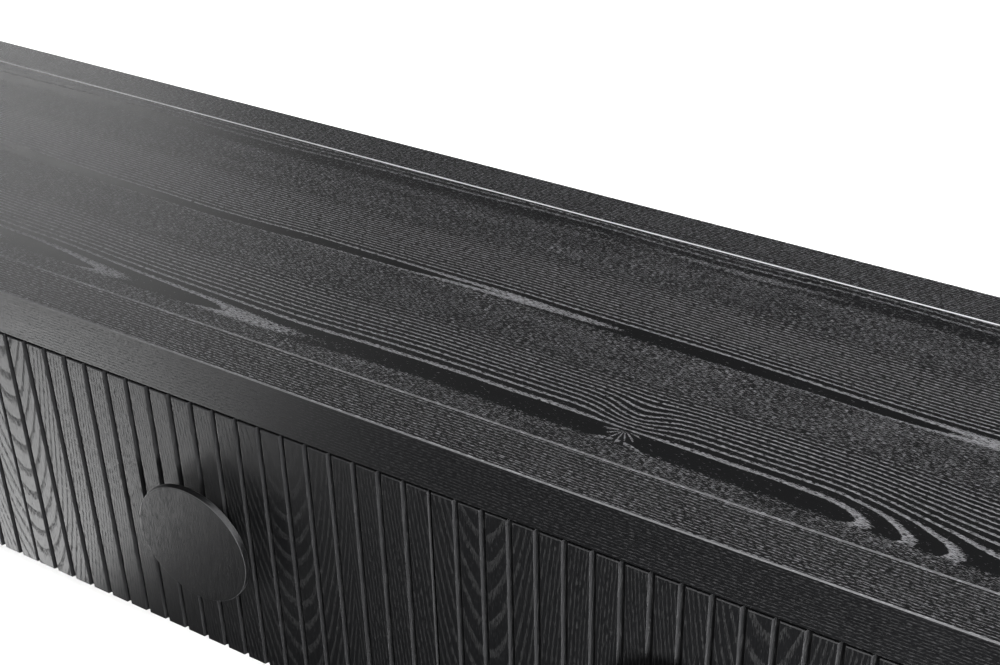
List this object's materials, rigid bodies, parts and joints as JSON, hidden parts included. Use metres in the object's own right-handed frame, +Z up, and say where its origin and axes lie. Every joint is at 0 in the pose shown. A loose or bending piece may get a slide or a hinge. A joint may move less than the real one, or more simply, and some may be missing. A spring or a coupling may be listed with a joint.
{
  "type": "sideboard",
  "caption": "Low wide black oak sideboard with vertically grooved hinged doors, large round disc knobs, framed top with inset lines, inner shelves and short turned legs.",
  "frame": {"origin": "centre of the footprint, knobs included, at floor level under the foot glides", "axes": "+Z up, -Y is the front that the doors face, +X to the right of a person facing the doors"},
  "size_m": [2.18, 0.475, 0.501],
  "materials": {
    "black_oak": "open-pore black stain with pale limed pores, satin lacquer",
    "carcass_board": "black oak veneer, satin",
    "back_board": "black stained veneer, matt",
    "nickel_steel": "nickel plate",
    "zinc_steel": "bright zinc plate",
    "black_steel": "black powder coat",
    "clear_buffer": "soft clear polyurethane",
    "grey_plastic": "fine matt moulding",
    "felt_glide": "dense felt disc on a plastic base"
  },
  "bodies": {
    "carcass": {"back_panel_centre": "back_board", "back_panel_left": "back_board", "back_panel_right": "back_board", "back_panel_screws": "zinc_steel", "bottom_panel": "carcass_board", "carcass_top_panel": "carcass_board", "divider_left": "carcass_board", "divider_right": "carcass_board", "hinge_arms": "nickel_steel", "hinge_plate_screws": "zinc_steel", "hinge_plates": "nickel_steel", "leg_back_centre": "black_oak", "leg_back_left": "black_oak", "leg_back_right": "black_oak", "leg_front_centre": "black_oak", "leg_front_left": "black_oak", "leg_front_right": "black_oak", "leg_glides": "felt_glide", "leg_plates": "black_steel", "leg_screws": "zinc_steel", "magnetic_catches": "grey_plastic", "shelf_centre": "carcass_board", "shelf_left": "carcass_board", "shelf_pins": "zinc_steel", "shelf_right": "carcass_board", "side_panel_left": "black_oak", "side_panel_right": "black_oak", "top_back_rail": "black_oak", "top_field_panel": "black_oak", "top_front_rail": "black_oak", "top_left_rail": "black_oak", "top_right_rail": "black_oak"},
    "door_1": {"door_1_buffers": "clear_buffer", "door_1_hinge_cups": "nickel_steel", "door_1_knob_disc": "black_oak", "door_1_knob_screw": "zinc_steel", "door_1_knob_stem": "black_oak", "door_1_panel": "black_oak", "door_1_strike_plate": "nickel_steel"},
    "door_2": {"door_2_buffers": "clear_buffer", "door_2_hinge_cups": "nickel_steel", "door_2_knob_disc": "black_oak", "door_2_knob_screw": "zinc_steel", "door_2_knob_stem": "black_oak", "door_2_panel": "black_oak", "door_2_strike_plate": "nickel_steel"},
    "door_3": {"door_3_buffers": "clear_buffer", "door_3_hinge_cups": "nickel_steel", "door_3_knob_disc": "black_oak", "door_3_knob_screw": "zinc_steel", "door_3_knob_stem": "black_oak", "door_3_panel": "black_oak", "door_3_strike_plate": "nickel_steel"},
    "door_4": {"door_4_buffers": "clear_buffer", "door_4_hinge_cups": "nickel_steel", "door_4_knob_disc": "black_oak", "door_4_knob_screw": "zinc_steel", "door_4_knob_stem": "black_oak", "door_4_panel": "black_oak", "door_4_strike_plate": "nickel_steel"}
  },
  "joints": [
    {"name": "door_1_hinge", "type": "hinge", "parent": "carcass", "child": "door_1", "pos_m": [-1.0385, -0.2125, 0.299], "axis": [0, 0, -1], "range_deg": [0, 95]},
    {"name": "door_2_hinge", "type": "hinge", "parent": "carcass", "child": "door_2", "pos_m": [-0.5185, -0.2125, 0.299], "axis": [0, 0, -1], "range_deg": [0, 95]},
    {"name": "door_3_hinge", "type": "hinge", "parent": "carcass", "child": "door_3", "pos_m": [0.5185, -0.2125, 0.299], "axis": [0, 0, 1], "range_deg": [0, 95]},
    {"name": "door_4_hinge", "type": "hinge", "parent": "carcass", "child": "door_4", "pos_m": [1.0385, -0.2125, 0.299], "axis": [0, 0, 1], "range_deg": [0, 95]}
  ]
}
